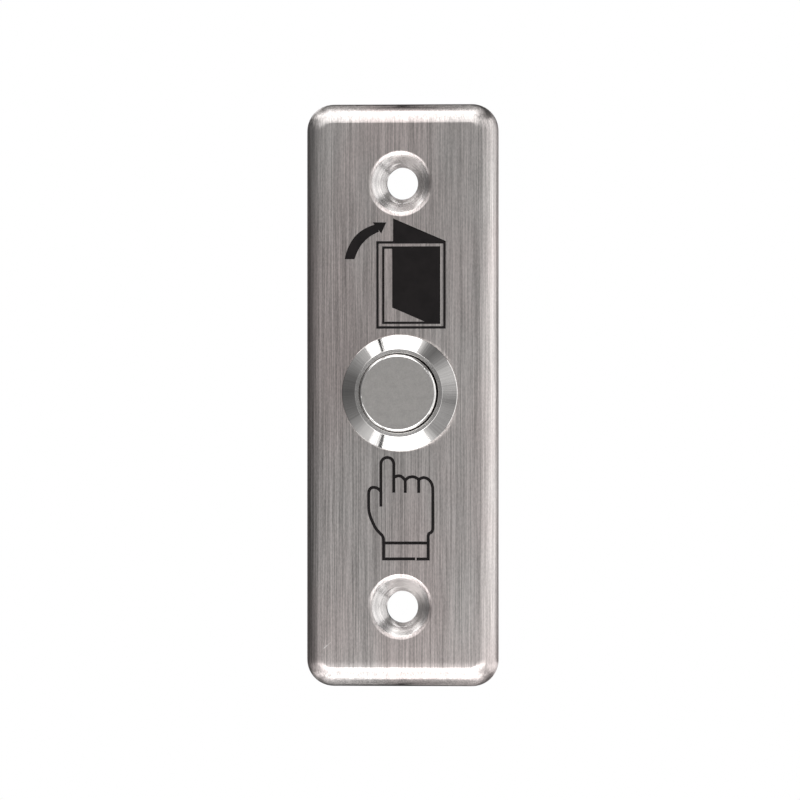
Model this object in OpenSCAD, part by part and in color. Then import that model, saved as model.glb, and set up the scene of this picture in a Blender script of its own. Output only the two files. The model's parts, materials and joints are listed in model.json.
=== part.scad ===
// Door exit button: a drawn stainless face plate that carries a 16 mm metal push switch.
// All sizes are in millimetres. Every module is drawn as the front view shows it, x to the
// right, y up and z towards the hand that presses, with z = 0 on the wall. on_wall() stands
// the finished pieces up, so that the long side runs along Z and the button faces -Y.

/* [Face plate] */
// Width of the face plate
plate_w = 29.6; // [27:0.1:36]
// Length of the face plate
plate_l = 89.4; // [86:0.1:110]
// Height of the front face above the wall
plate_depth = 3.2; // [3.1:0.1:4.5]
// Thickness of the sheet
sheet = 0.9; // [0.7:0.05:1.1]
// Radius of the corners, seen from the front
corner_r = 4.1; // [3.1:0.1:6]
// Outer radius of the bend that runs round the front edge
edge_r = 2.9; // [2:0.1:3]

/* [Screw holes] */
// Distance between the two screw holes
hole_spacing = 65; // [56:0.5:72]
// Diameter of each screw hole
screw_hole_d = 4.9; // [4.2:0.1:5.2]
// Diameter of the pressed dimple, where it leaves the flat face
dimple_d = 10.1; // [9:0.1:11]
// Radius of the dimple's rolled lip
lip_r = 0.9; // [0.4:0.1:1.4]

/* [Switch head] */
// Height of the push switch above the middle of the plate
button_up = 0.3; // [-3:0.1:3]
// How far the head reaches past the barrel, all round
head_lip = 1; // [0.9:0.05:1.6]
// Height of the head above the face
head_h = 2.2; // [1.6:0.1:3]
// Height of the head's straight side, below the bevel
head_side_h = 0.7; // [0.4:0.1:1]
// Width of the flat rim round the cap
rim_w = 0.85; // [0.5:0.05:1.4]
// Edge break of the head and of the rim
head_break = 0.12; // [0.05:0.01:0.2]

/* [Switch barrel] */
// Outer diameter of the threaded barrel
barrel_d = 16; // [15.8:0.1:16.4]
// Length of the barrel below the head
barrel_l = 12.7; // [12:0.1:16]
// Wall of the barrel round the mechanism
barrel_wall = 1.1; // [0.9:0.05:1.2]
// Length of the bore that guides the cap
guide_l = 4.9; // [4.6:0.1:5.4]
// Wall of the barrel round the bore that guides the cap
guide_wall = 1.9; // [1.6:0.05:2.2]
// Pitch of the barrel's thread, drawn as plain rings
thread_pitch = 1; // [0.75:0.25:1.5]
// Free play of the barrel in the plate, on each side
cutout_play = 0.1; // [0.05:0.01:0.3]
// Thickness of the rubber gasket under the head
gasket_t = 0.5; // [0.3:0.05:0.7]
// Width of the gasket ring
gasket_w = 0.65; // [0.4:0.05:0.75]

/* [Nut and washer] */
// Wall of the hexagon nut at the middle of each flat
nut_wall = 1.5; // [1:0.1:2.5]
// Height of the nut
nut_h = 2.5; // [2:0.1:3.5]
// Width of the toothed lock washer's ring
washer_w = 2.26; // [1.5:0.02:3]
// Thickness of the lock washer
washer_t = 0.6; // [0.4:0.1:1]
// Number of teeth on the lock washer
washer_teeth = 12; // [8:1:16]
// Play of the nut and the washer on the barrel, on each side
nut_play = 0.04; // [0.02:0.01:0.1]

/* [Cap] */
// Gap between the cap and its bore
cap_gap = 0.15; // [0.1:0.01:0.25]
// Height of the cap above the head, at rest
cap_proud = 1.3; // [0.8:0.1:2]
// Radius of the cap's rounded edge
cap_edge_r = 0.4; // [0.2:0.1:0.8]
// Thickness of the cap's top
cap_top_t = 1.6; // [1.2:0.1:2]
// Thickness of the flange that holds the cap in
flange_t = 0.8; // [0.6:0.1:1]
// Travel of the cap when it is pressed home
travel = 2; // [1.4:0.1:2.4]
// Section of the rubber ring that seals the cap
seal_t = 1; // [0.8:0.05:1.1]
// Wall of the cap between the seal's groove and the plunger
cap_wall = 0.95; // [0.8:0.05:1.2]

/* [Contacts] */
// Travel of the cap after the contacts meet
overtravel = 0.4; // [0.2:0.1:0.8]
// Thickness of the terminal strip
strip_t = 0.5; // [0.4:0.05:0.6]
// Width of the terminal strip inside the switch
strip_w = 3; // [2.4:0.1:3.4]
// Thickness of the contact bridge
bridge_t = 0.4; // [0.3:0.05:0.6]
// Height of each contact rivet above its strip
rivet_h = 0.4; // [0.3:0.05:0.6]
// Diameter of each contact rivet
rivet_d = 1.8; // [1.4:0.1:2.2]
// Width of the contact bridge
bridge_w = 3; // [2.4:0.1:3.2]
// Gap between the ends of the contact bridge and the return spring
bridge_gap = 0.9; // [0.5:0.05:1]
// Diameter of the plunger's stem
stem_d = 2.2; // [1.8:0.1:2.4]

/* [Springs] */
// Wire of the return spring
return_wire = 0.6; // [0.5:0.05:0.7]
// Turns of the return spring
return_turns = 5.5; // [4.5:0.5:6.5]
// Wire of the contact spring
contact_wire = 0.32; // [0.25:0.01:0.4]
// Turns of the contact spring
contact_turns = 4.5; // [3.5:0.5:5.5]

/* [Terminal base] */
// Length of the base's spigot inside the barrel
spigot_l = 2.5; // [2.2:0.1:3]
// Thickness of the base's flange behind the barrel
base_flange_t = 1.2; // [1:0.1:2]
// Height of the block that carries the terminals
block_h = 3.3; // [3.3:0.1:5]
// Width of the block, across the terminals
block_w = 9.6; // [9:0.1:11]
// Thickness of the barrier between the terminals
barrier_t = 1; // [0.8:0.1:1.1]
// Height of the barrier above the block
barrier_h = 3.1; // [2:0.1:4]
// Wall of the block between each terminal screw and its strip
screw_wall = 0.37; // [0.3:0.01:0.4]
// Thread diameter of the terminal screws
screw_d = 2.5; // [2:0.1:2.5]
// Head diameter of the terminal screws
screw_head_d = 4.5; // [4:0.1:4.6]
// Head height of the terminal screws
screw_head_h = 1.6; // [1.2:0.1:1.8]
// Length of the terminal screws below the head
screw_l = 3.7; // [3:0.1:4]
// Side of the square clamp plates
clamp_w = 4.6; // [4:0.1:4.7]
// Thickness of the clamp plates
clamp_t = 0.8; // [0.6:0.1:1]

/* [Hidden] */
$fn = 96;
// How far a cutting tool reaches past the surface that it cuts
past = 0.5;
// Small clearances inside the switch
spigot_play = 0.05;
slot_play = 0.05;
thread_play = 0.03;
stem_play = 0.08;
strip_gap = 0.39;
socket_play = 0.05;
clip_play = 0.05;
seal_play = 0.05;

// Heights, from the wall outwards
face_z = plate_depth;
inner_z = face_z - sheet;
rim_z = face_z + head_h;
cap_z = rim_z + cap_proud;
washer_z = inner_z - washer_t;
nut_z = washer_z - nut_h;
shoulder_z = rim_z - guide_l;
cap_foot_z = shoulder_z - flange_t;
barrel_end_z = face_z - barrel_l;
barrel_chamfer = barrel_wall / 2;
thread_end_z = barrel_end_z + barrel_chamfer;
base_front_z = barrel_end_z + spigot_l;
block_front_z = barrel_end_z - base_flange_t;
block_z = block_front_z - block_h;

// The contact stack, from the base's front face up
fixed_tip_z = base_front_z + strip_t + rivet_h;
moving_tip_z = fixed_tip_z + travel - overtravel;
bridge_z = moving_tip_z + rivet_h;
plunger_flange_t = 0.7;
plunger_foot_z = cap_foot_z - plunger_flange_t;

// Radii of the switch
barrel_r = barrel_d / 2;
head_r = barrel_r + head_lip;
bore_r = barrel_r - guide_wall;
cap_r = bore_r - cap_gap;
rim_r = bore_r + rim_w;
chamber_r = barrel_r - barrel_wall;
flange_r = chamber_r - 0.2;
groove_r = bore_r - seal_play - seal_t;
socket_r = groove_r - cap_wall;
groove_h = seal_t + 0.2;
groove_z = shoulder_z + travel + 1.4;
return_coil_r = chamber_r - 0.5 - return_wire / 2;
coil_inner_r = return_coil_r - return_wire / 2;
stem_r = stem_d / 2;
plunger_r = socket_r - socket_play;
plunger_flange_r = coil_inner_r - 0.3;
contact_coil_r = stem_r + 0.3 + contact_wire / 2;

// The stem, its clip and its guide hole
clip_t = 0.5;
clip_bite = 0.25;
clip_r = stem_r + 0.9;
stem_end_z = base_front_z - 1;
guide_end_z = stem_end_z - travel - 0.4;

// Terminals
riser_x = sqrt(pow(coil_inner_r - strip_gap, 2) - pow(strip_w / 2, 2));
tab_w = 4.6;
screw_top_z = block_z - strip_t - clamp_t;
slot_w = strip_w + 2 * slot_play;
slot_t = strip_t + 2 * slot_play;
screw_bore_r = screw_d / 2 + thread_play + 0.05;
screw_x = riser_x - strip_t - slot_play - screw_wall - screw_bore_r;
rivet_x = coil_inner_r - bridge_gap - bridge_w / 2;

// The dimple's 45 degree cone meets its rolled lip here
lip_in = lip_r * sin(45);
lip_drop = lip_r * (1 - cos(45));
hole_r = screw_hole_d / 2;
cone_r = dimple_d / 2 - lip_in;
cone_z = face_z - lip_drop;
hole_edge_z = cone_z - (cone_r - hole_r);
// The sheet is as thick on the cone as on the flat, so its lower face lies this far down
cone_drop = sheet * sqrt(2);
foot_r = cone_r - (cone_z - cone_drop);

// Turns a front view into the piece as it hangs on the wall
module on_wall() {
    rotate([90, 0, 0]) children();
}

// Places a switch piece on the switch's own axis
module on_switch_axis() {
    on_wall() translate([0, button_up, 0]) children();
}

// Keeps the side of a profile that a revolve may use
module right_half(r, low, high) {
    intersection() {
        translate([0, low]) square([r, high - low]);
        children();
    }
}

// Section of a tray of width w and depth h whose two front edges are rounded to r
module tray_section(w, h, r) {
    translate([-w / 2, 0]) square([w, h - r]);
    translate([-w / 2 + r, 0]) square([w - 2 * r, h]);
    intersection() {
        translate([-w / 2, 0]) square([w, h]);
        for (side = [-1, 1])
            translate([side * (w / 2 - r), h - r]) circle(r);
    }
}

// Solid tray with rounded corners and a rounded front edge
module tray(w, l, h, corner, edge) {
    rotate([90, 0, 0])
        linear_extrude(l - 2 * corner, center = true) tray_section(w, h, edge);
    rotate([90, 0, 90])
        linear_extrude(w - 2 * corner, center = true) tray_section(l, h, edge);
    for (x = [-1, 1], y = [-1, 1])
        translate([x * (w / 2 - corner), y * (l / 2 - corner), 0])
            rotate_extrude()
                right_half(corner, 0, h) tray_section(2 * corner, h, edge);
}

// Space above a dimple: a 90 degree countersink that ends in a rolled lip
module dimple_cut() {
    rotate_extrude()
        difference() {
            polygon([
                [0, hole_edge_z], [hole_r, hole_edge_z], [cone_r, cone_z],
                [dimple_d / 2, cone_z], [dimple_d / 2, face_z + past], [0, face_z + past]
            ]);
            translate([dimple_d / 2, face_z - lip_r]) circle(lip_r);
        }
}

// Underside of a dimple: a cone whose flat foot stands on the wall
module dimple_boss() {
    cylinder(h = inner_z, r1 = foot_r, r2 = foot_r + inner_z);
}

module at_screw_holes() {
    for (y = [-1, 1])
        translate([0, y * hole_spacing / 2, 0]) children();
}

module face_plate() {
    color([0.62, 0.61, 0.6])
        on_wall()
            difference() {
                union() {
                    difference() {
                        tray(plate_w, plate_l, plate_depth, corner_r, edge_r);
                        translate([0, 0, -past])
                            tray(plate_w - 2 * sheet, plate_l - 2 * sheet, inner_z + past,
                                 corner_r - sheet, edge_r - sheet);
                    }
                    at_screw_holes() dimple_boss();
                }
                at_screw_holes() {
                    dimple_cut();
                    translate([0, 0, -past]) cylinder(h = face_z, r = hole_r);
                }
                translate([0, button_up, 0])
                    cylinder(h = face_z + past, r = barrel_r + cutout_play);
            }
}

module panel_gasket() {
    color([0.09, 0.09, 0.09])
        on_switch_axis()
            translate([0, 0, face_z])
                difference() {
                    cylinder(h = gasket_t, r = barrel_r + gasket_w);
                    translate([0, 0, -past])
                        cylinder(h = gasket_t + 2 * past, r = barrel_r + nut_play);
                }
}

// Turned housing: bevelled head, gasket recess, barrel, guide bore and chamber
module button_housing() {
    recess_r = barrel_r + gasket_w + nut_play;
    root_r = barrel_r - 0.61 * thread_pitch;
    grooves = floor((washer_z - thread_end_z) / thread_pitch);
    thread = [
        for (i = [0 : grooves - 1])
            let (z = washer_z - (i + 0.5) * thread_pitch)
            each [
                [barrel_r, z + 0.44 * thread_pitch], [root_r, z + 0.1 * thread_pitch],
                [root_r, z - 0.1 * thread_pitch], [barrel_r, z - 0.44 * thread_pitch]
            ]
    ];
    color([0.72, 0.71, 0.7])
        on_switch_axis()
            rotate_extrude()
                polygon(concat(
                    [
                        [bore_r, shoulder_z], [bore_r, rim_z - head_break],
                        [bore_r + head_break, rim_z], [rim_r, rim_z],
                        [head_r - head_break, face_z + head_side_h + head_break],
                        [head_r, face_z + head_side_h], [head_r, face_z],
                        [recess_r, face_z], [recess_r, face_z + gasket_t],
                        [barrel_r, face_z + gasket_t]
                    ],
                    thread,
                    [
                        [barrel_r, thread_end_z], [barrel_r - barrel_chamfer, barrel_end_z],
                        [chamber_r, barrel_end_z], [chamber_r, shoulder_z]
                    ]
                ));
}

module lock_washer() {
    inner_r = barrel_r + nut_play;
    tooth_l = washer_w / 2;
    color([0.66, 0.66, 0.67])
        on_switch_axis()
            translate([0, 0, washer_z])
                difference() {
                    cylinder(h = washer_t, r = inner_r + washer_w);
                    translate([0, 0, -past]) cylinder(h = washer_t + 2 * past, r = inner_r);
                    for (i = [0 : washer_teeth - 1])
                        rotate(i * 360 / washer_teeth)
                            translate([0, -tooth_l / 2, -past])
                                cube([inner_r + tooth_l, tooth_l, washer_t + 2 * past]);
                }
}

// Hexagon nut with both faces chamfered to a circle
module hex_nut() {
    flat_r = barrel_r + nut_wall;
    corner = flat_r / cos(30);
    chamfer = corner - flat_r;
    color([0.74, 0.72, 0.68])
        on_switch_axis()
            translate([0, 0, nut_z])
                difference() {
                    intersection() {
                        rotate(90) cylinder(h = nut_h, r = corner, $fn = 6);
                        rotate_extrude()
                            polygon([
                                [0, 0], [flat_r, 0], [corner, chamfer * tan(30)],
                                [corner, nut_h - chamfer * tan(30)], [flat_r, nut_h],
                                [0, nut_h]
                            ]);
                    }
                    translate([0, 0, -past])
                        cylinder(h = nut_h + 2 * past, r = barrel_r + nut_play);
                }
}

// Cap: a cup with a rounded edge, a seal groove, a holding flange and a socket
module button_cap() {
    color([0.66, 0.65, 0.64])
        on_switch_axis()
            rotate_extrude()
                difference() {
                    union() {
                        square_between(0, cap_r, cap_foot_z, cap_z - cap_edge_r);
                        square_between(0, cap_r - cap_edge_r, cap_foot_z, cap_z);
                        translate([cap_r - cap_edge_r, cap_z - cap_edge_r]) circle(cap_edge_r);
                        square_between(0, flange_r, cap_foot_z, shoulder_z);
                    }
                    square_between(0, socket_r, cap_foot_z - past, cap_z - cap_top_t);
                    square_between(groove_r, cap_r + past, groove_z - groove_h / 2,
                                   groove_z + groove_h / 2);
                }
}

// Rectangle from its two radii and its two heights
module square_between(r1, r2, z1, z2) {
    translate([r1, z1]) square([r2 - r1, z2 - z1]);
}

module cap_seal() {
    color([0.1, 0.1, 0.1])
        on_switch_axis()
            translate([0, 0, groove_z])
                rotate_extrude() translate([groove_r + seal_t / 2, 0]) circle(d = seal_t);
}

// Moulded plunger: a hollow boss in the cap, a flange, and a stem with a clip groove
module plunger() {
    boss_top_z = cap_z - cap_top_t - socket_play;
    boss_wall = 1.1;
    groove_low_z = bridge_z - clip_t - clip_play;
    color([0.9, 0.88, 0.82])
        on_switch_axis()
            rotate_extrude()
                difference() {
                    union() {
                        square_between(0, plunger_r, cap_foot_z, boss_top_z);
                        square_between(0, plunger_flange_r, plunger_foot_z, cap_foot_z);
                        square_between(0, stem_r, stem_end_z, plunger_foot_z);
                    }
                    square_between(0, plunger_r - boss_wall, cap_foot_z + boss_wall,
                                   boss_top_z + past);
                    square_between(stem_r - clip_bite, stem_r + past, groove_low_z, bridge_z);
                }
}

// Snap clip that holds the contact bridge on the stem
module stem_clip() {
    inner_r = stem_r - clip_bite + clip_play;
    color([0.5, 0.5, 0.52])
        on_switch_axis()
            translate([0, 0, bridge_z - clip_t])
                difference() {
                    cylinder(h = clip_t, r = clip_r);
                    translate([0, 0, -past]) cylinder(h = clip_t + 2 * past, r = inner_r);
                    translate([-inner_r * 0.8, 0, -past])
                        cube([inner_r * 1.6, clip_r + past, clip_t + 2 * past]);
                }
}

// Height of a spring's wire centre after t turns: closed end turns, even pitch between
function coil_z(t, turns, wire, len) =
    let (
        closed = 0.75,
        rise = wire * 0.95,
        pitch = (len - wire - 2 * closed * rise) / (turns - 2 * closed)
    )
    t < closed ? t * rise
    : t > turns - closed ? len - wire - (turns - t) * rise
    : closed * rise + (t - closed) * pitch;

// Coil spring that stands on z = 0, swept as one tube with flat ends
module coil_spring(coil_r, wire, len, turns, steps, sides) {
    rings = round(turns * steps);
    points = [
        for (i = [0 : rings], j = [0 : sides - 1])
            let (
                turn = i / steps,
                around = turn * 360,
                across = j * 360 / sides,
                r = coil_r + wire / 2 * cos(across)
            )
            [
                r * cos(around), r * sin(around),
                wire / 2 + coil_z(turn, turns, wire, len) + wire / 2 * sin(across)
            ]
    ];
    walls = [
        for (i = [0 : rings - 1], j = [0 : sides - 1])
            let (a = i * sides + j, b = i * sides + (j + 1) % sides)
            [a, b, b + sides, a + sides]
    ];
    ends = [
        [for (j = [sides - 1 : -1 : 0]) j],
        [for (j = [0 : sides - 1]) rings * sides + j]
    ];
    polyhedron(points, concat(walls, ends), convexity = 10);
}

module return_spring() {
    color([0.7, 0.7, 0.72])
        on_switch_axis()
            translate([0, 0, base_front_z])
                coil_spring(return_coil_r, return_wire, cap_foot_z - base_front_z,
                            return_turns, 24, 8);
}

module contact_spring() {
    top_z = bridge_z + bridge_t;
    color([0.7, 0.7, 0.72])
        on_switch_axis()
            translate([0, 0, top_z])
                coil_spring(contact_coil_r, contact_wire, plunger_foot_z - top_z,
                            contact_turns, 20, 8);
}

// Copper strip with round ends that joins the two fixed contacts
module contact_bridge() {
    color([0.72, 0.45, 0.3])
        on_switch_axis()
            translate([0, 0, bridge_z])
                difference() {
                    union() {
                        translate([-rivet_x, -bridge_w / 2, 0])
                            cube([2 * rivet_x, bridge_w, bridge_t]);
                        for (x = [-rivet_x, rivet_x])
                            translate([x, 0, 0]) cylinder(h = bridge_t, d = bridge_w);
                    }
                    translate([0, 0, -past])
                        cylinder(h = bridge_t + 2 * past, r = stem_r + stem_play);
                }
}

// Domed silver rivet that stands on z = 0
module contact_rivet() {
    dome = 0.12;
    color([0.86, 0.86, 0.85]) {
        cylinder(h = rivet_h - dome, d = rivet_d);
        translate([0, 0, rivet_h - dome])
            cylinder(h = dome, d1 = rivet_d, d2 = rivet_d - 4 * dome);
    }
}

module moving_contact(side) {
    on_switch_axis()
        translate([side * rivet_x, 0, bridge_z]) rotate([180, 0, 0]) contact_rivet();
}

module fixed_contact(side) {
    on_switch_axis()
        translate([side * rivet_x, 0, base_front_z + strip_t]) contact_rivet();
}

// Black base: spigot, flange, terminal block and the barrier between the terminals
module switch_base() {
    color([0.08, 0.08, 0.09])
        on_switch_axis()
            difference() {
                union() {
                    translate([0, 0, barrel_end_z])
                        cylinder(h = spigot_l, r = chamber_r - spigot_play);
                    translate([0, 0, block_front_z])
                        cylinder(h = base_flange_t, r = barrel_r - barrel_chamfer);
                    intersection() {
                        translate([0, 0, block_z])
                            cylinder(h = block_h, r = chamber_r);
                        translate([-barrel_r, -block_w / 2, block_z])
                            cube([barrel_d, block_w, block_h]);
                    }
                    translate([-barrier_t / 2, -block_w / 2, block_z - barrier_h])
                        cube([barrier_t, block_w, barrier_h]);
                }
                translate([0, 0, guide_end_z])
                    cylinder(h = base_front_z - guide_end_z + past, r = stem_r + stem_play);
                for (side = [-1, 1]) {
                    translate([side * (riser_x - strip_t / 2) - slot_t / 2, -slot_w / 2,
                               block_z - past])
                        cube([slot_t, slot_w, base_front_z - block_z + 2 * past]);
                    translate([side * screw_x, 0, block_z - past])
                        cylinder(h = screw_l - strip_t - clamp_t + 0.3 + past,
                                 r = screw_bore_r);
                }
            }
}

// Brass strip on the +x side: inner tab, riser through the base, and tapped outer tab
module terminal_strip() {
    inner_x = clip_r + 0.3;
    outer_x = barrier_t / 2 + 0.2;
    color([0.8, 0.66, 0.36])
        difference() {
            union() {
                translate([inner_x, -strip_w / 2, base_front_z])
                    cube([riser_x - inner_x, strip_w, strip_t]);
                translate([riser_x - strip_t, -strip_w / 2, block_z - strip_t])
                    cube([strip_t, strip_w, base_front_z - block_z + 2 * strip_t]);
                translate([outer_x, -tab_w / 2, block_z - strip_t])
                    cube([riser_x - outer_x, tab_w, strip_t]);
            }
            translate([screw_x, 0, block_z - strip_t - past])
                cylinder(h = strip_t + 2 * past, r = screw_d / 2 + thread_play);
        }
}

module terminal_right() {
    on_switch_axis() terminal_strip();
}

module terminal_left() {
    on_switch_axis() mirror([1, 0, 0]) terminal_strip();
}

module clamp_plates() {
    color([0.72, 0.72, 0.73])
        on_switch_axis()
            for (side = [-1, 1])
                translate([side * screw_x, 0, screw_top_z])
                    difference() {
                        translate([-clamp_w / 2, -clamp_w / 2, 0])
                            cube([clamp_w, clamp_w, clamp_t]);
                        translate([0, 0, -past])
                            cylinder(h = clamp_t + 2 * past, r = screw_d / 2 + 0.1);
                    }
}

// Pan head screw with a cross recess, head down and threads up
module terminal_screw() {
    slot = 0.7;
    slot_l = screw_head_d * 0.55;
    head_round = 0.5;
    difference() {
        union() {
            cylinder(h = screw_l, d = screw_d);
            translate([0, 0, head_round - screw_head_h])
                cylinder(h = screw_head_h - head_round, d = screw_head_d);
            translate([0, 0, -screw_head_h])
                cylinder(h = head_round, d1 = screw_head_d - 2 * head_round,
                         d2 = screw_head_d);
        }
        for (turn = [0, 90])
            rotate(turn)
                translate([-slot_l / 2, -slot / 2, -screw_head_h - past])
                    cube([slot_l, slot, past + 0.8]);
    }
}

module terminal_screws() {
    color([0.76, 0.76, 0.77])
        on_switch_axis()
            for (side = [-1, 1])
                translate([side * screw_x, 0, screw_top_z]) terminal_screw();
}

face_plate();
panel_gasket();
button_housing();
lock_washer();
hex_nut();
button_cap();
cap_seal();
plunger();
stem_clip();
return_spring();
contact_spring();
contact_bridge();
moving_contact(-1);  // moving_contact_left
moving_contact(1);  // moving_contact_right
switch_base();
terminal_left();
terminal_right();
fixed_contact(-1);  // fixed_contact_left
fixed_contact(1);  // fixed_contact_right
clamp_plates();
terminal_screws();
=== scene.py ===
"""Looks of a door exit button: brushed plate, turned switch head, printed signs, threaded barrel.

The wall is the plane y = 0, the button faces -Y and the plate's long side runs along Z.
Lengths are in metres in Blender, so the drawing sizes below are in millimetres times MM.
"""
import json
import math

import bmesh
import bpy
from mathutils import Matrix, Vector


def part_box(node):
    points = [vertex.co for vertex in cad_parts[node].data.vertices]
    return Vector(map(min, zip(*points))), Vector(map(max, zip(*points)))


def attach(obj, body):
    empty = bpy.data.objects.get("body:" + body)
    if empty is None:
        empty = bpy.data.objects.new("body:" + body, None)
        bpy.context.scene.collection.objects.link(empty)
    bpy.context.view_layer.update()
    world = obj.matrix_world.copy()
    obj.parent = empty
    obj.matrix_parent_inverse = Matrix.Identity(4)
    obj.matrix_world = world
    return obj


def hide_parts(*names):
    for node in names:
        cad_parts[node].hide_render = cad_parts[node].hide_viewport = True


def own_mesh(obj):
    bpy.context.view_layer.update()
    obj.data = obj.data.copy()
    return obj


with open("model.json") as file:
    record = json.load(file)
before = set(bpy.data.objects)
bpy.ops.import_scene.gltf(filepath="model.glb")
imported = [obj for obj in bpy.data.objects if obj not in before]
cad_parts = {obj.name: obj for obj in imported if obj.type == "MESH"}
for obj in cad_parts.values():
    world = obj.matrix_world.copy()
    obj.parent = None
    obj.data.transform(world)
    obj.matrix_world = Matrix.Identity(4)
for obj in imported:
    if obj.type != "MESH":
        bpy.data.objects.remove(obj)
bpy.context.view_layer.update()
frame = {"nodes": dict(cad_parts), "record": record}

MM = 0.001

# Sizes of the solids in mm: heights above the wall, the switch's axis and its head's radius
plate_low, plate_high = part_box("face_plate")
head_low, head_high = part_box("button_housing")
FACE = -plate_low[1] / MM
AXIS_Z = (head_low[2] + head_high[2]) / 2 / MM
RIM = -head_low[1] / MM
BARREL_END = -head_high[1] / MM
HEAD_R = (head_high[0] - head_low[0]) / 2 / MM

# Sizes in mm that no box shows: the barrel, the end of the head's flat rim, the screw holes'
# distance from the middle, and the start of the bend at each end of the plate
BARREL_R = 8.0
RIM_R = 6.76
HOLE_Z = 32.5
BEND_Z = plate_high[2] / MM - 2.9

# Camera

AZIMUTH, ELEVATION = math.radians(7.5), math.radians(-0.3)
DISTANCE = 1.5
SENSOR = 36
FRAME_W = 123.0 * MM
AIM_RIGHT, AIM_UP = -0.47 * MM, -0.74 * MM


def make_camera():
    """Long lens, almost square to the plate, that frames FRAME_W at the origin."""
    back = Vector((
        math.sin(AZIMUTH) * math.cos(ELEVATION),
        -math.cos(AZIMUTH) * math.cos(ELEVATION),
        math.sin(ELEVATION),
    ))
    turn = (-back).to_track_quat("-Z", "Y")
    aim = turn @ Vector((AIM_RIGHT, AIM_UP, 0))
    data = bpy.data.cameras.new("camera")
    data.sensor_width = SENSOR
    data.lens = SENSOR * DISTANCE / FRAME_W
    data.clip_start, data.clip_end = 0.01, 20
    camera = bpy.data.objects.new("camera", data)
    bpy.context.collection.objects.link(camera)
    camera.rotation_mode = "QUATERNION"
    camera.rotation_quaternion = turn
    camera.location = aim + back * DISTANCE
    bpy.context.scene.camera = camera


make_camera()

# Short ways to make nodes


class Tree:
    """Short ways to add and join the nodes of one material or world."""

    def __init__(self, owner):
        owner.use_nodes = True
        self.tree = owner.node_tree
        self.tree.nodes.clear()

    def add(self, kind, sockets=None, **settings):
        """A node; sockets holds values or links by the input's name or number."""
        made = self.tree.nodes.new(kind)
        for name, value in settings.items():
            setattr(made, name, value)
        for name, value in (sockets or {}).items():
            self.put(made.inputs[name], value)
        return made

    def put(self, socket, value):
        """Links an output to the socket, or sets the socket to a constant."""
        if isinstance(value, bpy.types.NodeSocket):
            self.tree.links.new(value, socket)
        else:
            socket.default_value = value

    def math(self, operation, *values):
        made = self.add("ShaderNodeMath", operation=operation)
        for socket, value in zip(made.inputs, values):
            self.put(socket, value)
        return made.outputs[0]

    def scale(self, value, factor):
        return self.math("MULTIPLY", value, factor)

    def square(self, value):
        return self.math("MULTIPLY", value, value)

    def length(self, a, b):
        return self.math("SQRT", self.math("ADD", self.square(a), self.square(b)))

    def step(self, value, low, high, to_low=0.0, to_high=1.0):
        """Smooth step of value from low to high."""
        made = self.add("ShaderNodeMapRange", interpolation_type="SMOOTHSTEP")
        for name, given in zip(
            ("Value", "From Min", "From Max", "To Min", "To Max"),
            (value, low, high, to_low, to_high),
        ):
            self.put(made.inputs[name], given)
        return made.outputs[0]

    def mix(self, factor, a, b):
        made = self.add("ShaderNodeMix", data_type="RGBA")
        self.put(made.inputs[0], factor)
        self.put(made.inputs[6], a)
        self.put(made.inputs[7], b)
        return made.outputs[2]

    def place(self):
        """The point in the row frame: each object sits at the origin."""
        return self.add("ShaderNodeTexCoord").outputs["Object"]

    def noise(self, point, scale, detail=3.0, roughness=0.55, offset=(0, 0, 0)):
        """Noise whose scale is given in features a metre along X, Y and Z."""
        mapped = self.add("ShaderNodeMapping",
                          {"Vector": point, "Location": offset, "Scale": scale})
        made = self.add(
            "ShaderNodeTexNoise",
            {"Vector": mapped.outputs[0], "Scale": 1.0, "Detail": detail, "Roughness": roughness},
        )
        return made.outputs[0]

    def ripple(self, value, scale):
        """Noise along one value, for turned rings."""
        made = self.add("ShaderNodeTexNoise", {"Scale": scale, "Detail": 2.0, "W": value},
                        noise_dimensions="1D")
        return made.outputs[0]

    def parts(self, vector):
        return self.add("ShaderNodeSeparateXYZ", {0: vector}).outputs

    def vector(self, operation, *values):
        made = self.add("ShaderNodeVectorMath", operation=operation)
        for socket, value in zip(made.inputs, values):
            self.put(socket, value)
        return made.outputs[0]

    def radius(self, point):
        """Distance from the switch's axis, in metres."""
        x, _, z = self.parts(point)
        return self.length(x, self.math("SUBTRACT", z, AXIS_Z * MM))

    def hole_radius(self, point):
        """Distance from the nearer screw hole's axis, in metres."""
        x, _, z = self.parts(point)
        return self.length(x, self.math("SUBTRACT", self.math("ABSOLUTE", z), HOLE_Z * MM))

    def tangent(self, axis):
        """Direction of the brushing or turning marks, for the anisotropic shine."""
        return self.add("ShaderNodeTangent", direction_type="RADIAL", axis=axis).outputs[0]

    def bump(self, height, strength, distance, normal=None):
        made = self.add("ShaderNodeBump", {"Height": height, "Strength": strength,
                                           "Distance": distance})
        if normal is not None:
            self.put(made.inputs["Normal"], normal)
        return made.outputs[0]

    def surface(self, **sockets):
        """Ends the tree in a Principled shader with these sockets."""
        names = {
            "color": "Base Color", "metallic": "Metallic", "roughness": "Roughness",
            "normal": "Normal", "anisotropic": "Anisotropic", "tangent": "Tangent",
            "turn": "Anisotropic Rotation", "specular": "Specular IOR Level",
        }
        shader = self.add("ShaderNodeBsdfPrincipled")
        for name, value in sockets.items():
            self.put(shader.inputs[names[name]], value)
        out = self.add("ShaderNodeOutputMaterial")
        self.tree.links.new(shader.outputs[0], out.inputs[0])


def rgb(r, g, b):
    return (r, g, b, 1.0)


def material(name):
    made = bpy.data.materials.new(name)
    return made, Tree(made)


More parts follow.
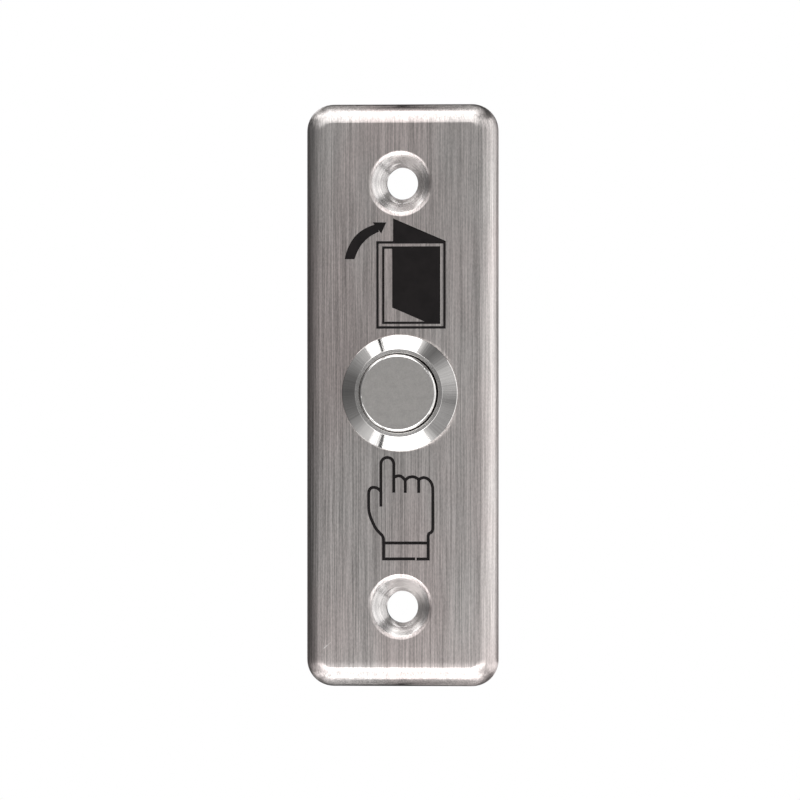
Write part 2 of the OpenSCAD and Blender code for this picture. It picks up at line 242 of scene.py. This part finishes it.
def scaled(tree, color, factor):
    """The colour, made lighter or darker by a factor."""
    made = tree.add("ShaderNodeMix", data_type="RGBA", blend_type="MULTIPLY")
    tree.put(made.inputs[0], 1.0)
    tree.put(made.inputs[6], color)
    tree.put(made.inputs[7], tree.add("ShaderNodeCombineColor",
                                      {0: factor, 1: factor, 2: factor}).outputs[0])
    return made.outputs[2]


# Materials: t is a material's tree and p the point in the row frame


def plate_steel():
    """Stainless sheet brushed along Z, with long hairlines and one small scratch."""
    mat, t = material("plate_steel")
    p = t.place()
    hair = t.noise(p, (5000, 5000, 32), detail=3, roughness=0.6)
    band = t.noise(p, (900, 900, 14), detail=2, roughness=0.5)
    fine = t.noise(p, (9000, 9000, 130), detail=1, roughness=0.6)
    grain = t.noise(p, (7000, 7000, 2200), detail=1, roughness=0.5)
    marks = t.noise(p, (3600, 3600, 70), detail=1, roughness=0.5)
    # Painted shade: a slow tone change across the face, offset so that the right part of the plate
    # is darker
    painted_shade_drift = t.noise(p, (34, 34, 12), detail=1, roughness=0.5, offset=(6.7, 0.0, 2.3))
    cloud = t.noise(p, (70, 70, 30), detail=2, roughness=0.5)
    # Each dimple's wall is smoother, and meets its rolled lip between these two radii
    wall_r, lip_r = 4.3 * MM, 4.6 * MM
    reach = t.hole_radius(p)
    rings = t.ripple(reach, 3200.0)
    pressed = t.step(reach, wall_r, lip_r, 1.0, 0.0)
    scratch = plate_scratch(t, p)

    tone = t.math("ADD", t.scale(hair, 0.5), t.math("ADD", t.scale(band, 0.17),
                                                    t.scale(fine, 0.33)))
    lines = t.math("SUBTRACT", t.step(marks, 0.62, 0.74), t.step(marks, 0.38, 0.26))
    shade = t.step(tone, 0.38, 0.62, 0.76, 1.24)
    # The last change added here is the painted shade that darkens the right part of the face
    for change in (t.step(grain, 0.35, 0.65, -0.08, 0.08), t.scale(lines, 0.12),
                   t.step(painted_shade_drift, 0.3, 0.7, -0.1, 0.1)):
        shade = t.math("ADD", shade, change)
    warm = t.mix(t.step(cloud, 0.35, 0.65), rgb(0.605, 0.54, 0.525), rgb(0.59, 0.56, 0.545))
    color = t.mix(scratch, scaled(t, warm, shade), rgb(0.86, 0.84, 0.82))
    turned = t.math("ADD", t.step(tone, 0.38, 0.62, 0.46, 0.54),
                    t.step(rings, 0.35, 0.65, 0.42, 0.58))
    color = t.mix(pressed, color, scaled(t, rgb(0.62, 0.597, 0.588), turned))

    height = t.math("ADD", t.math("MULTIPLY", tone, t.step(pressed, 0, 1, 1.0, 0.3)),
                    t.math("MULTIPLY", rings, t.scale(pressed, 0.6)))
    height = t.math("SUBTRACT", height, t.scale(scratch, 0.8))
    t.surface(
        color=color, metallic=1.0,
        roughness=t.math("SUBTRACT", t.step(hair, 0.3, 0.7, 0.29, 0.37), t.scale(pressed, 0.1)),
        anisotropic=0.85, tangent=t.tangent("Z"),
        normal=t.bump(height, t.step(pressed, 0, 1, 0.5, 0.35), 0.012 * MM,
                      plate_normal(t, p, pressed)),
    )
    return mat


def plate_normal(t, p, pressed):
    """The sheet's normal, with the small unevenness that a press leaves."""
    normal = t.add("ShaderNodeNewGeometry").outputs["Normal"]
    # The dimples' walls are a little flatter than a true cone, except at the top
    sideways, _, upward = t.parts(normal)
    upward = t.math("MAXIMUM", upward, 0.0)
    flatter = t.math("ADD", t.scale(t.square(sideways), 0.35), t.scale(t.square(upward), 0.13))
    lift = t.math("MULTIPLY", flatter, t.scale(pressed, -1.0))
    # The lower bend starts softly, a little before its true edge
    before, after = 1.2, 1.0
    up = t.parts(p)[2]
    droop = t.math("MULTIPLY", t.step(up, (before - BEND_Z) * MM, -BEND_Z * MM),
                   t.step(up, (-after - BEND_Z) * MM, -BEND_Z * MM, 0.0, -0.055))
    change = t.add("ShaderNodeCombineXYZ", {1: lift, 2: droop}).outputs[0]
    return t.vector("NORMALIZE", t.vector("ADD", normal, change))


def plate_scratch(t, p):
    """1 on the small scratch near the lower left corner, less on its tail, else 0."""
    a, b = Vector((-11.95, -38.98)) * MM, Vector((-10.67, -37.84)) * MM
    fade, core, half_width = 0.2 * MM, 0.04 * MM, 0.1 * MM
    along, length = (b - a).normalized(), (b - a).length
    x, _, z = t.parts(p)
    dx, dz = t.math("SUBTRACT", x, a.x), t.math("SUBTRACT", z, a.y)
    run = t.math("ADD", t.scale(dx, along.x), t.scale(dz, along.y))
    off = t.math("ABSOLUTE", t.math("SUBTRACT", t.scale(dx, along.y), t.scale(dz, along.x)))
    inside = t.math("MULTIPLY", t.step(run, 0, fade),
                    t.step(run, length - fade, length, 1.0, 0.0))
    inside = t.math("MULTIPLY", inside, t.step(run, 0.35 * length, 0.6 * length, 1.0, 0.4))
    return t.math("MULTIPLY", inside, t.step(off, core, half_width, 1.0, 0.0))


def head_steel():
    """Polished head: mirror bevel with faint streaks, and a flat rim with turning marks."""
    mat, t = material("head_steel")
    p = t.place()
    r = t.radius(p)
    centred = t.vector("ADD", p, (0, 0, -AXIS_Z * MM))
    around = t.vector("NORMALIZE", t.vector("MULTIPLY", centred, (1, 0, 1)))
    rings = t.ripple(r, 14000.0)
    chatter = t.noise(around, (22, 22, 22), detail=4, roughness=0.7)
    streaks = t.noise(around, (55, 55, 55), detail=3, roughness=0.7)
    smudge = t.noise(p, (350, 350, 350), detail=3)
    on_rim = t.step(r, (RIM_R - 0.1) * MM, RIM_R * MM, 1.0, 0.0)
    tone = t.math("ADD", t.step(rings, 0.3, 0.7, 0.93, 1.03), t.step(smudge, 0.3, 0.7, -0.03, 0.02))
    tone = t.math("MULTIPLY", tone, t.step(on_rim, 0, 1, 1.0, 0.6))
    tone = t.math("MULTIPLY", tone, t.step(streaks, 0.38, 0.62, 0.9, 1.04))
    height = t.math("ADD", t.scale(rings, 0.2), t.scale(chatter, 1.4))
    t.surface(
        color=scaled(t, rgb(0.74, 0.72, 0.705), tone), metallic=1.0,
        roughness=t.math("ADD", t.step(smudge, 0.35, 0.75, 0.06, 0.1), t.scale(on_rim, 0.19)),
        anisotropic=0.6, turn=0.25, tangent=t.tangent("Y"),
        normal=t.bump(height, 1.0, 0.005 * MM),
    )
    return mat


def cap_steel():
    """Cap: satin face with a fine blasted grain, and a polished rounded edge."""
    mat, t = material("cap_steel")
    p = t.place()
    grain = t.noise(p, (6500, 6500, 6500), detail=3, roughness=0.65)
    blotch = t.noise(p, (900, 900, 900), detail=3, roughness=0.6)
    face_r, edge_r = 5.48 * MM, 5.6 * MM
    edge = t.step(t.radius(p), face_r, edge_r)
    tone = t.math("ADD", t.step(grain, 0.35, 0.65, 0.42, 0.55),
                  t.step(blotch, 0.35, 0.65, 0.46, 0.54))
    base = t.mix(edge, rgb(0.412, 0.397, 0.384), rgb(0.76, 0.745, 0.73))
    t.surface(
        color=scaled(t, base, tone), metallic=1.0,
        roughness=t.step(edge, 0, 1, 0.3, 0.1),
        normal=t.bump(grain, t.step(edge, 0, 1, 0.3, 0.02), 0.006 * MM),
    )
    return mat


def plated(name, color, roughness, grain=4000, spread=0.06, strength=0.2):
    """Plated or rolled metal with a slightly uneven shine."""
    mat, t = material(name)
    p = t.place()
    fine = t.noise(p, (grain, grain, grain), detail=3)
    patch = t.noise(p, (260, 260, 260), detail=2)
    t.surface(
        color=scaled(t, color, t.step(patch, 0.3, 0.7, 0.9, 1.06)), metallic=1.0,
        roughness=t.step(fine, 0.3, 0.7, roughness - spread, roughness + spread),
        normal=t.bump(fine, strength, 0.006 * MM),
    )
    return mat


def moulded(name, color, roughness, grain=5200, strength=0.35):
    """Moulded plastic or rubber with a fine sparked skin."""
    mat, t = material(name)
    p = t.place()
    fine = t.noise(p, (grain, grain, grain), detail=3)
    patch = t.noise(p, (220, 220, 220), detail=2)
    t.surface(
        color=scaled(t, color, t.step(patch, 0.3, 0.7, 0.9, 1.1)),
        roughness=t.step(fine, 0.3, 0.7, roughness - 0.06, roughness + 0.06),
        normal=t.bump(fine, strength, 0.012 * MM),
    )
    return mat


def printed_ink():
    """Black screen ink: a thin film with a faint mesh texture."""
    mat, t = material("sign_ink")
    p = t.place()
    mesh = t.noise(p, (9000, 9000, 9000), detail=2)
    patch = t.noise(p, (500, 500, 500), detail=2)
    t.surface(
        color=scaled(t, rgb(0.0065, 0.0052, 0.0054), t.step(patch, 0.3, 0.7, 0.8, 1.2)),
        roughness=t.step(mesh, 0.3, 0.7, 0.42, 0.52), specular=0.1,
        normal=t.bump(mesh, 0.2, 0.006 * MM),
    )
    return mat


MATERIALS = {
    "plate_steel": plate_steel(),
    "head_steel": head_steel(),
    "cap_steel": cap_steel(),
    "nickel_brass": plated("nickel_brass", rgb(0.70, 0.67, 0.60), 0.2),
    "zinc_steel": plated("zinc_steel", rgb(0.66, 0.67, 0.69), 0.26),
    "spring_steel": plated("spring_steel", rgb(0.56, 0.56, 0.58), 0.22),
    "copper": plated("copper", rgb(0.86, 0.5, 0.34), 0.28),
    "silver": plated("silver", rgb(0.9, 0.89, 0.87), 0.24),
    "brass": plated("brass", rgb(0.83, 0.64, 0.33), 0.26),
    "black_rubber": moulded("black_rubber", rgb(0.022, 0.022, 0.022), 0.62),
    "ivory_plastic": moulded("ivory_plastic", rgb(0.78, 0.74, 0.63), 0.42, strength=0.15),
    "black_plastic": moulded("black_plastic", rgb(0.024, 0.024, 0.026), 0.4),
    "sign_ink": printed_ink(),
}

for row in frame["record"]["subparts"]:
    slots = frame["nodes"][row["node"]].data.materials
    slots.clear()
    slots.append(MATERIALS[row["material_slot"]])

# Mesh helpers


def at(x, z, height):
    """Row-frame point from a front view in mm and a height above the wall."""
    return Vector((x * MM, -height * MM, z * MM))


def piece(name, mesh, body, slot, smooth=None):
    """Adds a mesh as a piece; smooth is the angle in degrees up to which faces shade as one."""
    mesh.materials.append(MATERIALS[slot])
    obj = bpy.data.objects.new(name, mesh)
    bpy.context.collection.objects.link(obj)
    if smooth is not None:
        mesh.shade_smooth()
        mesh.set_sharp_from_angle(angle=math.radians(smooth))
    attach(obj, body)
    return obj


def grid_faces(start, rows, columns, closed=True):
    """Faces between rows of points that follow each other; closed joins the rows' ends."""
    last = columns if closed else columns - 1
    return [
        (start + i * columns + j, start + i * columns + (j + 1) % columns,
         start + (i + 1) * columns + (j + 1) % columns, start + (i + 1) * columns + j)
        for i in range(rows - 1) for j in range(last)
    ]


def mesh_of(name, points, faces):
    """A mesh with its doubled points joined and its faces turned outwards."""
    mesh = bpy.data.meshes.new(name)
    mesh.from_pydata([tuple(v) for v in points], [], faces)
    b = bmesh.new()
    b.from_mesh(mesh)
    bmesh.ops.remove_doubles(b, verts=b.verts, dist=0.0005 * MM)
    bmesh.ops.recalc_face_normals(b, faces=b.faces)
    b.to_mesh(mesh)
    b.free()
    return mesh


# Threaded housing


def ring_point(r, height, angle):
    """Point round the switch's axis; the angle is in radians, clockwise from the top."""
    return at(r * math.sin(angle), AXIS_Z + r * math.cos(angle), height)


def arc(center_r, center_h, radius, start, end, steps):
    """Points of an arc in the (radius, height) plane; angles in degrees from +radius."""
    return [
        (center_r + radius * math.cos(math.radians(start + (end - start) * i / steps)),
         center_h + radius * math.sin(math.radians(start + (end - start) * i / steps)))
        for i in range(steps + 1)
    ]


def housing_profile(thread_top, chamber_r):
    """Section of the housing, from the chamber over the rim and the bevel to the thread."""
    bore_r, guide_l = 6.1, 4.9
    recess_r, recess_h = 8.69, 0.5
    bevel_h, rim_round, head_round, bore_round = 1.435, 0.17, 0.3, 0.12
    slope = math.atan2(HEAD_R - RIM_R, bevel_h)
    lean, rise, run = math.degrees(slope), math.sin(slope), math.cos(slope)
    rim_c = RIM_R - rim_round * (1 - rise) / run
    head_c = RIM - ((HEAD_R - head_round - RIM_R) * run + head_round) / rise
    rim_edge = arc(rim_c, RIM - rim_round, rim_round, 90, lean, 5)
    head_edge = arc(HEAD_R - head_round, head_c, head_round, lean, 0, 6)
    bore_edge = arc(bore_r + bore_round, RIM - bore_round, bore_round, 180, 90, 4)
    # One loop on the rim and one at each end of the bevel keep both of them flat
    rim_hold, bevel_hold = 0.03, 0.04
    down = (rise * bevel_hold, -run * bevel_hold)
    bevel = [(rim_edge[-1][0] + down[0], rim_edge[-1][1] + down[1]),
             (head_edge[0][0] - down[0], head_edge[0][1] - down[1])]
    return (
        [(chamber_r, BARREL_END), (chamber_r, RIM - guide_l), (bore_r, RIM - guide_l)]
        + [(bore_r, RIM - bore_round)] + bore_edge
        + [(rim_c - rim_hold, RIM)] + rim_edge + bevel + head_edge
        + [(HEAD_R, FACE), (recess_r, FACE), (recess_r, FACE + recess_h)]
        + [(BARREL_R, FACE + recess_h), (BARREL_R, thread_top)]
    )


def threaded_housing():
    """The turned housing, with a helical thread where the solid has plain rings."""
    segments, rows = 144, 12
    pitch, depth, flat, runout, chamfer = 1.0, 0.61, 0.1, 0.5, 0.55
    thread_top, chamber_r = 1.7, 6.9
    angles = [2 * math.pi * j / segments for j in range(segments + 1)]
    profile = housing_profile(thread_top, chamber_r)
    points = [ring_point(r, h, a) for r, h in profile for a in angles[:-1]]
    faces = grid_faces(0, len(profile), segments)
    # The thread's rows follow the helix, so its crest is one clean line
    start = len(points)
    count = int((thread_top - BARREL_END) / pitch * rows) + rows + 2
    for i in range(count):
        phase = (i % rows) / rows
        groove = min(1, max(0, (abs(phase * 2 - 1) - flat) / (1 - 2 * flat)))
        for j, angle in enumerate(angles):
            h = thread_top - (i / rows - 1 + j / segments) * pitch
            h = min(thread_top, max(BARREL_END, h))
            r = BARREL_R - depth * groove * min(1, (thread_top - h) / runout)
            r = min(r, BARREL_R - chamfer + h - BARREL_END)
            if h == BARREL_END:
                r = BARREL_R - depth
            points.append(ring_point(r, h, angle))
    faces += grid_faces(start, count, segments + 1, closed=False)
    # The barrel's end, from the thread to the rim of the chamber
    start = len(points)
    for r in (BARREL_R - depth, chamber_r):
        points += [ring_point(r, BARREL_END, a) for a in angles[:-1]]
    faces += grid_faces(start, 2, segments)
    obj = piece("threaded_housing", mesh_of("threaded_housing", points, faces),
                "housing", "head_steel", smooth=24)
    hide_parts("button_housing")


threaded_housing()

# Springs


def coil(name, node, body, coil_r, wire, turns):
    """Round wire coil in the place of a node.

    Its end away from the cap stays, and keep is the share of its length that is left. The
    The closed turns at its ends lie a little less than one wire apart, so that they touch.
    """
    low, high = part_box(node)
    bottom, length = -high[1] / MM, (high[1] - low[1]) / MM
    closed, sides, steps = 0.75, 12, 40
    rise = wire * 0.95
    # A hair less than round along Y, which keeps the wire inside the solid's box
    along = wire / 2 * 0.999
    pitch = (length - wire - 2 * closed * rise) / (turns - 2 * closed)
    rings = int(turns * steps)
    points = []
    for i in range(rings + 1):
        t = i / steps
        if t < closed:
            h = t * rise
        elif t > turns - closed:
            h = length - wire - (turns - t) * rise
        else:
            h = closed * rise + (t - closed) * pitch
        for j in range(sides):
            a = 2 * math.pi * j / sides
            points.append(ring_point(coil_r + wire / 2 * math.cos(a),
                                     bottom + wire / 2 + h + along * math.sin(a),
                                     math.pi / 2 - 2 * math.pi * t))
    faces = grid_faces(0, rings + 1, sides)
    faces.append(tuple(range(sides)))
    faces.append(tuple(rings * sides + j for j in reversed(range(sides))))
    obj = piece(name, mesh_of(name, points, faces), body, "spring_steel", smooth=40)
    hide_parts(node)
    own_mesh(obj)


coil("return_coil", "return_spring", "housing",
     coil_r=6.1, wire=0.6, turns=5.5)
coil("contact_coil", "contact_spring", "contact",
     coil_r=1.56, wire=0.32, turns=4.5)

# Printed signs

# Thickness of the ink, rise from each area to the next, and depth of its back in the face
INK_T, INK_STEP, INK_SUNK = 0.02, 0.002, 0.005
# Distance of both signs above where they are drawn
SIGN_UP = 0.046


def curve_through(points, steps=6):
    """Smooth line through the points."""
    full = [points[0]] + list(points) + [points[-1]]
    made = []
    for i in range(1, len(full) - 2):
        p0, p1, p2, p3 = (Vector(full[i + k]) for k in (-1, 0, 1, 2))
        for s in range(steps):
            t = s / steps
            made.append(0.5 * ((2 * p1) + (p2 - p0) * t + (2 * p0 - 5 * p1 + 4 * p2 - p3) * t * t
                               + (3 * p1 - p0 - 3 * p2 + p3) * t ** 3))
    made.append(Vector(full[-2]))
    return made


def stroke(points, width, closed=False):
    """The two sides of a line with mitred bends."""
    pts = [Vector(p) for p in points]
    n = len(pts)
    left, right = [], []
    for i, p in enumerate(pts):
        before = pts[i - 1] if (i > 0 or closed) else None
        after = pts[(i + 1) % n] if (i < n - 1 or closed) else None
        d1 = (p - before).normalized() if before is not None else None
        d2 = (after - p).normalized() if after is not None else None
        d1, d2 = d1 or d2, d2 or d1
        n1, n2 = Vector((-d1.y, d1.x)), Vector((-d2.y, d2.x))
        bend = (n1 + n2).normalized()
        reach = width / 2 / max(0.35, bend.dot(n1))
        left.append(p + bend * reach)
        right.append(p - bend * reach)
    return left, right


def line(points, width, closed=False):
    """A printed line, as (points, faces)."""
    return strip(*stroke(points, width, closed), closed)


def strip(left, right, closed=False):
    """The area between two sides with the same number of points, as (points, faces)."""
    n = len(left)
    last = n if closed else n - 1
    return list(left) + list(right), [
        (i, (i + 1) % n, n + (i + 1) % n, n + i) for i in range(last)
    ]


def area(points):
    """A printed area inside a closed line, as (points, faces)."""
    return list(points), [tuple(range(len(points)))]


def film(name, parts):
    """Joins printed areas into one thin piece; each lies a hair higher than the last."""
    b = bmesh.new()
    for level, (points, faces) in enumerate(parts):
        top = FACE + INK_T + INK_STEP * level
        verts = [b.verts.new(at(x, z + SIGN_UP, top)) for x, z in points]
        made = [b.faces.new([verts[i] for i in face]) for face in faces]
        sunk = bmesh.ops.extrude_face_region(b, geom=made)["geom"]
        for v in sunk:
            if isinstance(v, bmesh.types.BMVert):
                v.co.y = -(FACE - INK_SUNK) * MM
    bmesh.ops.triangulate(b, faces=[f for f in b.faces if len(f.verts) > 4])
    bmesh.ops.recalc_face_normals(b, faces=b.faces)
    mesh = bpy.data.meshes.new(name)
    b.to_mesh(mesh)
    b.free()
    return piece(name, mesh, "housing", "sign_ink")


def door_sign():
    """Open door in its frame, with a curved arrow that leads out."""
    parts = [
        area([(-1.13, 23.24), (6.98, 23.24), (6.98, 23.60), (-1.13, 27.08)]),
        area([(-1.26, 13.38), (3.69, 11.25), (3.69, 10.95), (6.1, 10.95), (6.1, 22.73),
              (-1.26, 22.73)]),
    ]
    inset = 0.15
    for (x1, z1, x2, z2), width in (((-3.69, 10.18, 6.98, 23.53), 0.38),
                                    ((-2.79, 10.89, 6.14, 22.74), 0.36)):
        x1, z1, x2, z2 = x1 + inset, z1 + inset, x2 - inset, z2 - inset
        parts.append(line([(x1, z1), (x2, z1), (x2, z2), (x1, z2)], width, closed=True))
    outer = curve_through([(-8.62, 20.82), (-8.35, 21.9), (-7.9, 22.98), (-7.13, 24.2),
                           (-6.0, 25.2), (-4.75, 25.85), (-3.7, 26.2)])
    inner = curve_through([(-7.1, 20.82), (-6.85, 21.5), (-6.45, 22.35), (-5.8, 23.3),
                           (-4.9, 24.15), (-4.1, 24.65), (-3.3, 25.05)])
    parts.append(strip(outer, inner))
    parts.append(area([(-4.28, 26.48), (-2.96, 24.76), (-2.18, 26.44)]))
    film("sign_door", parts)


def hand_sign():
    """Hand with one finger that points up, drawn as an outline."""
    width = 0.46
    tip_x, tip_z, tip_r = -2.015, -10.62, 0.995
    tip = [(tip_x + tip_r * math.cos(math.radians(a)), tip_z + tip_r * math.sin(math.radians(a)))
           for a in range(180, -1, -12)]
    lines = [
        [(-3.01, -17.16)] + tip + [(-1.02, -15.01)],
        curve_through([(-1.02, -12.72), (-0.62, -12.5), (-0.2, -12.44), (0.25, -12.6),
                       (0.76, -13.12)]) + [Vector((0.76, -15.05))],
        curve_through([(0.76, -13.12), (1.2, -12.74), (1.78, -12.58), (2.35, -12.68),
                       (2.84, -13.02)]) + [Vector((2.84, -15.05))],
        curve_through([(2.84, -13.02), (3.3, -12.78), (3.75, -12.72), (4.3, -12.95),
                       (4.75, -13.45), (4.98, -14.1), (5.03, -14.8)])
        + curve_through([(5.03, -20.5), (4.95, -20.85), (4.7, -21.15), (4.42, -21.3),
                         (4.31, -21.65)]) + [Vector((4.31, -22.74))],
        curve_through([(-3.01, -14.92), (-3.3, -14.5), (-3.75, -14.27), (-4.28, -14.22),
                       (-4.66, -14.42), (-4.87, -14.84), (-4.9, -15.4)])
        + curve_through([(-4.9, -17.3), (-4.78, -18.2), (-4.47, -19.13), (-3.85, -20.42),
                         (-3.2, -21.2), (-2.8, -21.6), (-2.62, -22.1), (-2.59, -22.74)]),
        [(-2.79, -22.74), (4.51, -22.74)],
        # The cuff's lower line is worn through at one place
        [(-2.59, -22.74), (-2.59, -25.19), (2.3, -25.17)],
        [(4.31, -22.74), (4.31, -25.19), (2.5, -25.2)],
    ]
    film("sign_hand", [line(points, width) for points in lines])


door_sign()
hand_sign()

# Studio


def area_light(name, location, aim, width, height, radiance):
    """A soft panel that shines towards aim; radiance is what a mirror would show of it."""
    data = bpy.data.lights.new(name, "AREA")
    data.shape = "RECTANGLE"
    data.size, data.size_y = width, height
    data.energy = radiance * math.pi * width * height
    lamp = bpy.data.objects.new(name, data)
    bpy.context.collection.objects.link(lamp)
    lamp.location = location
    direction = Vector(aim) - Vector(location)
    lamp.rotation_mode = "QUATERNION"
    lamp.rotation_quaternion = direction.to_track_quat("-Z", "Y")
    lamp.visible_camera = False


# Grey cards round the part: clock angle seen from the front, and level
CARDS = (
    (0, 1.0), (16, 1.0), (24, 0.28), (33, 0.16), (42, 0.2), (61, 0.6), (69, 0.6),
    (78, 0.46), (89, 0.34), (95, 0.2), (101, 0.12), (107, 0.26), (123, 0.32), (142, 0.36),
    (153, 0.9), (201, 0.9), (203, 0.04), (214, 0.04), (217, 0.8), (228, 0.72), (237, 0.44),
    (246, 0.24), (256, 0.18), (271, 0.12), (286, 0.16), (297, 0.28), (306, 0.42), (316, 0.6),
    (325, 0.6), (327, 0.04), (341, 0.04), (343, 1.0),
)


def card_panel(name, corner_a, corner_b, x1, x2, radiance):
    """A soft panel between two lines along X; each corner is (y, z) in metres."""
    a, b = Vector((0, *corner_a)), Vector((0, *corner_b))
    center = (a + b) / 2
    normal = Vector((0, -(b - a).z, (b - a).y)).normalized()
    if normal.dot(-center) < 0:
        normal = -normal
    center.x = (x1 + x2) / 2
    area_light(name, center, center + normal, x2 - x1, (b - a).length, radiance)


# Panels that run along X: name, their front and back corner as (y, z), X limits, radiance
TOP = ((-0.88, 0.21), (-0.085, 0.533))
BOTTOM = ((-0.88, -0.25), (-0.12, -0.54))
PANELS = (
    # A gap between the left and the right panel mirrors as a thin dark post
    ("top_left", *TOP, -0.43, -0.283, 1.9),
    ("top_right", *TOP, -0.233, 0.13, 2.15),
    ("bottom_left", *BOTTOM, -0.40, -0.285, 1.35),
    ("bottom_right", *BOTTOM, -0.235, 0.224, 2.2),
    # Four strips that grow brighter downwards, for the soft start of the lower bend
    ("low_front_0", (-0.305, -0.052), (-0.2925, -0.085), -0.25, 0.25, 0.45),
    ("low_front_1", (-0.2925, -0.085), (-0.28, -0.115), -0.25, 0.25, 1.0),
    ("low_front_2", (-0.28, -0.115), (-0.27, -0.142), -0.25, 0.25, 1.5),
    ("low_front_3", (-0.27, -0.142), (-0.26, -0.17), -0.25, 0.25, 1.8),
)

# Other lights: name, place, aim, width, height, radiance
LIGHTS = (
    ("side_right", (0.9, 0.072, 0.0), (0, 0.072, 0), 1.0, 1.44, 1.3),
    ("low_left", (-0.43, 0.05, -0.416), (0, 0, 0), 0.15, 0.15, 1.75),
    ("high_left", (-0.40, -0.02, 0.43), (0, 0, 0), 0.2, 0.2, 1.6),
    ("low_right", (0.38, -0.06, -0.46), (0, 0, 0), 0.14, 0.14, 1.2),
    ("above", (0, 0.0, 0.33), (0, 0, 0), 0.25, 0.12, 0.25),
    ("back_right", (0.62, 0.62, -0.28), (0, 0, 0), 0.6, 0.26, 1.2),
    ("back_left", (-0.45, 0.75, 0.45), (0, 0.01, 0), 0.3, 0.3, 2.0),
)

def studio():
    """Lights, and a world that is white to the camera and grey cards to the steel."""
    for panel in PANELS:
        card_panel(*panel)
    for light in LIGHTS:
        area_light(*light)

    world = bpy.data.worlds.new("studio")
    bpy.context.scene.world = world
    t = Tree(world)
    direction = t.add("ShaderNodeTexCoord").outputs["Generated"]
    x, y, z = t.parts(direction)
    turn = t.math("DIVIDE", t.math("ARCTAN2", x, z), 2 * math.pi)
    turn = t.math("FRACT", t.math("ADD", turn, 1.0))
    ramp = t.add("ShaderNodeValToRGB", {0: turn})
    stops = ramp.color_ramp.elements
    stops[0].position, stops[1].position = 0.0, CARDS[-1][0] / 360
    for angle, level in CARDS[1:-1]:
        stops.new(angle / 360)
    for stop, (angle, level) in zip(stops, CARDS):
        stop.color = (level, level, level, 1)
    cards = t.add("ShaderNodeSeparateColor", {0: ramp.outputs[0]}).outputs[0]
    front = t.math("ADD", t.step(x, -0.9, -0.5, 0.16, 0.37), t.step(x, 0.3, 0.68, 0.0, 0.7))
    rim = t.step(t.length(x, z), 0.7, 0.9)
    near = t.math("ADD", t.math("MULTIPLY", cards, rim),
                  t.math("MULTIPLY", front, t.math("SUBTRACT", 1.0, rim)))
    # The cards fade out behind the part, where the room is dark but for a white back wall
    dark = 0.02
    away = t.math("POWER", t.step(y, -0.28, 0.6), 0.45)
    sides = t.math("ADD", t.math("MULTIPLY", near, t.math("SUBTRACT", 1.0, away)),
                   t.scale(away, dark))
    behind = t.step(y, 0.97, 0.995)
    level = t.math("ADD", t.math("MULTIPLY", sides, t.math("SUBTRACT", 1.0, behind)), behind)
    rays = t.add("ShaderNodeLightPath").outputs
    seen = t.math("MAXIMUM", rays["Is Camera Ray"], rays["Is Transmission Ray"])
    level = t.math("MAXIMUM", level, seen)
    background = t.add("ShaderNodeBackground", {"Color": rgb(1, 1, 1), "Strength": level})
    out = t.add("ShaderNodeOutputWorld")
    t.tree.links.new(background.outputs[0], out.inputs[0])


def floor():
    """Pale round floor well below the plate, which fades into the white background."""
    radius, clear_r, faint_r, level, steps = 0.55, 0.5, 0.18, -0.7, 96
    angles = [2 * math.pi * i / steps for i in range(steps)]
    points = [(0, 0, level)]
    points += [(radius * math.cos(a), radius * math.sin(a), level) for a in angles]
    mesh = bpy.data.meshes.new("floor")
    mesh.from_pydata(points, [], [(0, i + 1, (i + 1) % steps + 1) for i in range(steps)])
    mat, t = material("floor")
    x, y, _ = t.parts(t.place())
    shader = t.add("ShaderNodeBsdfDiffuse", {"Color": rgb(0.93, 0.93, 0.93)})
    clear = t.add("ShaderNodeBsdfTransparent")
    mixed = t.add("ShaderNodeMixShader")
    t.put(mixed.inputs[0], t.step(t.length(x, y), faint_r, clear_r))
    t.put(mixed.inputs[1], shader.outputs[0])
    t.put(mixed.inputs[2], clear.outputs[0])
    out = t.add("ShaderNodeOutputMaterial")
    t.tree.links.new(mixed.outputs[0], out.inputs[0])
    mesh.materials.append(mat)
    obj = bpy.data.objects.new("floor", mesh)
    bpy.context.collection.objects.link(obj)


studio()
floor()
bpy.context.scene.view_settings.view_transform = "Standard"
